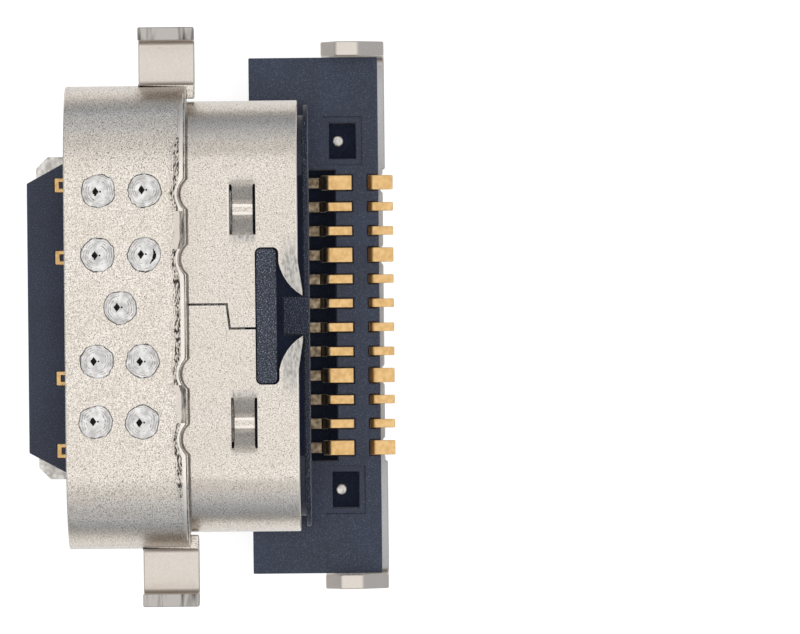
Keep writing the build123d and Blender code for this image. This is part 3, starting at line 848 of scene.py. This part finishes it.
dress("lower_ground_shield", "lower_shield", "core_steel", [core_steel], even(SHIELD_ROUND))
print(housing_piece.name, len(housing_piece.data.polygons), "faces")

# %% Dress the contacts
CONTACT_ROUND = 0.018
CONTACTS_PER_ROW = 12
BROWN_Y = (0.0, 1.62)


def in_shaded_run(middle, normal):
    """Whether a face lies on the part of a contact that runs down in the trough, painted dim brown as
    painted shade.
    """
    return between(middle.y - datum_y, BROWN_Y)


contact_faces = 0
for number in range(1, CONTACTS_PER_ROW + 1):
    for row in ("upper", "lower"):
        piece = dress(
            row + "_contact_" + str(number),
            row + "_gilt_contact_" + str(number),
            "gold_plate",
            [gold_plate, shaded_contact_run],
            even(CONTACT_ROUND),
            # Each contact's run in the trough is painted dim brown as painted shade.
            painted=[(shaded_contact_run, in_shaded_run)],
        )
        contact_faces += len(piece.data.polygons)
print("24 contacts,", contact_faces, "faces")

# %% [markdown]
# ## Laser welds
#
# Nine spots hold the strap to the tube. Each is a low crater about 0.7 mm across: a ragged
# outline, a rim of frozen ripples, a bright dish and a pinhole. One filled circle is inset into
# rings, and the rings' heights are then set as a sculptor would push them, with a seed of its
# own for each spot.

# %% Model the weld craters
WELD_RADIUS = 0.362
WELD_SEGMENTS = 80
WELD_RINGS = 28
RING_STEP = 0.0125
WELD_THICKNESS = 0.006
SKIRT_WIDTH = 0.022
SKIRT_HEIGHT = 0.001
DISH_HEIGHT = 0.008
WALL_HEIGHT = 0.014
RIPPLE_HEIGHT = 0.0055
GRIT_HEIGHT = 0.005
RIM_RADIUS = 0.275
RIM_HALF_WIDTH = 0.085
RIPPLED_FROM = 0.19
RIPPLE_RATE = 130
OUTLINE_WIDTH = 0.024
SCORCHED_WELD = 5
SCORCH_ANGLE = 0.2
SCORCH_RADIUS = 0.225
SCORCH_HALF_WIDTH = 0.042
WELD_FINISHES = [bright_weld, keyhole_oxide, ripple_grey, burnt_outline]


def round_noise(angle, reach, height):
    """Noise that closes on itself round the crater, wavier with more reach."""
    return noise.noise(Vector((math.cos(angle) * reach, math.sin(angle) * reach, height)))


def pool_side(angle, seed):
    """How squarely a direction points along the melt pool, from 0 to 1."""
    return abs(math.cos(angle + 0.25 * math.sin(seed)))


def ripple(radius, angle, seed):
    """The wave of the frozen ripples at one place, from -1 to 1."""
    return math.sin(radius * RIPPLE_RATE + 4.0 * round_noise(angle, 1.4, seed))


def weld_height(radius, angle, seed):
    """Height of the frozen metal over the strap, in mm, at one place of the crater."""
    skirt = clamped((WELD_RADIUS - radius) / SKIRT_WIDTH)
    side = 0.2 + 0.8 * pool_side(angle, seed) ** 1.5
    wall = clamped((radius - 0.05) / 0.20)
    wall = wall * wall * (3 - 2 * wall)
    in_rim = clamped(1 - abs(radius - RIM_RADIUS) / RIM_HALF_WIDTH)
    height = DISH_HEIGHT + WALL_HEIGHT * wall * side
    height += RIPPLE_HEIGHT * side * in_rim * ripple(radius, angle, seed)
    height += GRIT_HEIGHT * round_noise(angle, radius * 14, seed + 9) * (0.35 + in_rim)
    return SKIRT_HEIGHT + skirt * height


def in_keyhole(middle, seed):
    """Whether a place in the dish lies in the black keyhole or the dot beside it."""
    place = middle - Vector((0.015 * math.sin(seed), 0.012 * math.cos(1.7 * seed), 0))
    diamond = abs(place.y + 0.075) / 0.072 + abs(place.x) / 0.10 < 1
    dot = math.hypot(place.x, place.y - 0.028) < 0.020
    return diamond or dot


def weld_finish(middle, seed, scorched):
    """The finish of the crater's face that has this middle."""
    radius = middle.length
    angle = math.atan2(middle.x, middle.y)
    side = pool_side(angle, seed)
    broken = round_noise(angle, 3.1, radius * 9 + seed)
    if in_keyhole(middle, seed):
        return keyhole_oxide
    off_arc = abs(angle - SCORCH_ANGLE)
    if scorched and off_arc < 0.8:
        burnt = abs(radius - SCORCH_RADIUS) < SCORCH_HALF_WIDTH * (1 - off_arc / 0.9)
        return keyhole_oxide if burnt else bright_weld
    if radius > RIPPLED_FROM and ripple(radius, angle, seed) + 1.6 * broken > 1.30 - 1.05 * side:
        return ripple_grey
    if radius > WELD_RADIUS - OUTLINE_WIDTH and broken + 0.35 * side > 0.05:
        return burnt_outline
    return bright_weld


def weld_spread(radius, angle, seed):
    """How far a place is pushed out to leave the crater's outline ragged."""
    ragged = 0.09 * round_noise(angle, 2.0, seed)
    splash = 0.16 * max(0.0, round_noise(angle, 5, seed + 5) - 0.25)
    return 0.97 + (ragged + splash) * min(1.0, radius / 0.25)


def make_weld(number, centre_x, centre_y):
    """One weld crater on the strap's flat."""
    deselect_all()
    bpy.ops.mesh.primitive_circle_add(vertices=WELD_SEGMENTS, radius=WELD_RADIUS, fill_type="NGON")
    weld = bpy.context.active_object
    weld.name = "laser_weld_" + str(number)
    bpy.ops.object.mode_set(mode="EDIT")
    bpy.ops.mesh.select_all(action="SELECT")
    for ring in range(WELD_RINGS):
        bpy.ops.mesh.inset(thickness=RING_STEP, depth=0)
    bpy.ops.mesh.poke()
    bpy.ops.object.mode_set(mode="OBJECT")
    seed = 3.7 * number
    for material in WELD_FINISHES:
        weld.data.materials.append(material)
    for polygon in weld.data.polygons:
        finish = weld_finish(polygon.center, seed, number == SCORCHED_WELD)
        polygon.use_smooth = True
        polygon.material_index = WELD_FINISHES.index(finish)
    for vertex in weld.data.vertices:
        radius = math.hypot(vertex.co.x, vertex.co.y)
        angle = math.atan2(vertex.co.x, vertex.co.y)
        spread = weld_spread(radius, angle, seed)
        vertex.co.z = weld_height(radius, angle, seed)
        vertex.co.x *= spread
        vertex.co.y *= spread
    weld.data.transform(Matrix.Translation((centre_x, datum_y + centre_y, strap_top_z)))
    apply_modifier(weld, "SOLIDIFY", thickness=WELD_THICKNESS, offset=-1)
    shrink_to_metres(weld)
    place_on_frame(weld)
    return weld


for number, (weld_x, weld_y) in enumerate(weld_places, 1):
    weld = make_weld(number, weld_x, weld_y)
print("nine welds,", len(weld.data.polygons), "faces each")

# %% [markdown]
# ## Studio
#
# The photograph looks straight down on the board side, through a long lens, on plain white. A
# wide overhead softbox makes flat sheet read as pale metal, and the sky darkens towards the
# horizon, which is what draws the dark bands where the tube and the strap roll away. Below the
# horizon it brightens again, as a lit table would. The metal doesn't mirror the black housing,
# because the rolled edges above it stay bright in the photograph.

# %% Floor
FLOOR_GAP_MM = 0.02
PAPER_GREY = "B0B0B0"
PAPER_GLOW = 0.80
deselect_all()
bpy.ops.mesh.primitive_plane_add(size=3.0, location=(0, 0, -FLOOR_GAP_MM * MM))
floor = bpy.context.active_object
floor.name = "studio_floor"
floor_material, tree, output, place = new_material("white_paper_sweep")
path = add_node(tree, "ShaderNodeLightPath")
paper = add_node(tree, "ShaderNodeBsdfDiffuse", {"Color": linear(PAPER_GREY)})
glow = add_node(tree, "ShaderNodeEmission", {"Color": (1, 1, 1, 1), "Strength": PAPER_GLOW})
lifted = add_node(tree, "ShaderNodeAddShader", {0: paper.outputs["BSDF"], 1: glow.outputs["Emission"]})
clear = add_node(tree, "ShaderNodeBsdfTransparent")
lit = add_node(tree, "ShaderNodeMixShader", {
    0: path.outputs["Is Camera Ray"],
    1: paper.outputs["BSDF"],
    2: lifted.outputs["Shader"],
})
below = add_node(tree, "ShaderNodeNewGeometry").outputs["Backfacing"]
gone = calculate(tree, "MAXIMUM", path.outputs["Is Glossy Ray"], below)
shown = add_node(tree, "ShaderNodeMixShader", {
    0: gone,
    1: lit.outputs["Shader"],
    2: clear.outputs["BSDF"],
})
tree.links.new(shown.outputs["Shader"], output.inputs["Surface"])
floor.data.materials.append(floor_material)
print("floor of", floor.dimensions.x, "m")

# %% Sky
HORIZON_LIGHT = 0.50
OVERHEAD_LIGHT = 0.97
UNDER_HORIZON_LIGHT = 0.20
TABLE_LIGHT = 1.15
world = bpy.data.worlds.new("studio_sky")
bpy.context.scene.world = world
world.use_nodes = True
tree = world.node_tree
tree.nodes.clear()
direction = add_node(tree, "ShaderNodeTexCoord").outputs["Generated"]
height = add_node(tree, "ShaderNodeSeparateXYZ", {0: direction}).outputs["Z"]
overhead = remap(tree, height, -0.15, 0.60, HORIZON_LIGHT, OVERHEAD_LIGHT)
underneath = remap(tree, height, -0.28, -0.50, UNDER_HORIZON_LIGHT, TABLE_LIGHT)
straight_down = remap(tree, height, -0.80, -0.97, 1.0, 0.87)
underneath = calculate(tree, "MULTIPLY", underneath, straight_down)
level_of_light = calculate(tree, "MAXIMUM", overhead, underneath)
path = add_node(tree, "ShaderNodeLightPath")
strength = remap(tree, path.outputs["Is Camera Ray"], 0.0, 1.0)
tree.links.new(level_of_light, strength.node.inputs["To Min"])
below_top = remap(tree, height, 0.75, 0.10)
above_table = remap(tree, height, -0.30, -0.05)
low_down = calculate(tree, "MULTIPLY", below_top, above_table)
tint = blend_colours(tree, low_down, linear("FFFFFF"), linear("E9F2FF"))
background = add_node(tree, "ShaderNodeBackground", {"Color": tint, "Strength": strength})
add_node(tree, "ShaderNodeOutputWorld", {"Surface": background.outputs["Background"]})
print("sky made")


# %% Softboxes
def add_softbox(name, place, size, power):
    """A square area lamp that faces the connector."""
    data = bpy.data.lights.new(name, "AREA")
    data.shape = "SQUARE"
    data.size = size
    data.energy = power
    lamp = bpy.data.objects.new(name, data)
    bpy.context.scene.collection.objects.link(lamp)
    lamp.location = place
    lamp.rotation_euler = (-Vector(place)).to_track_quat("-Z", "Y").to_euler()


add_softbox("overhead_softbox", (0.05, -0.10, 0.80), size=0.8, power=0.78)
add_softbox("side_softbox", (0.35, 0.25, 0.80), size=0.4, power=0.20)
print("lamps set")

# %% Camera
LENS = 400.0
SENSOR = 36.0
PIXELS_PER_MM = 48.2
IMAGE_WIDTH = 800
PICTURE_MIDDLE = (0.05, 3.093)
ROLL_DEG = 89.4
plane_width = IMAGE_WIDTH / PIXELS_PER_MM
camera_height = plane_width * LENS / SENSOR
camera_data = bpy.data.cameras.new("copy_stand_camera")
camera_data.lens = LENS
camera_data.sensor_width = SENSOR
camera_data.clip_start = 0.01
camera_data.clip_end = 10
camera = bpy.data.objects.new("copy_stand_camera", camera_data)
bpy.context.scene.collection.objects.link(camera)
camera.location = (
    PICTURE_MIDDLE[0] * MM,
    (datum_y + PICTURE_MIDDLE[1]) * MM,
    (strap_axis_z + camera_height) * MM,
)
camera.rotation_euler = (0, 0, math.radians(ROLL_DEG))
bpy.context.scene.camera = camera
bpy.context.scene.view_settings.view_transform = "Standard"
print("camera at", [round(v / MM, 1) for v in camera.location], "mm")
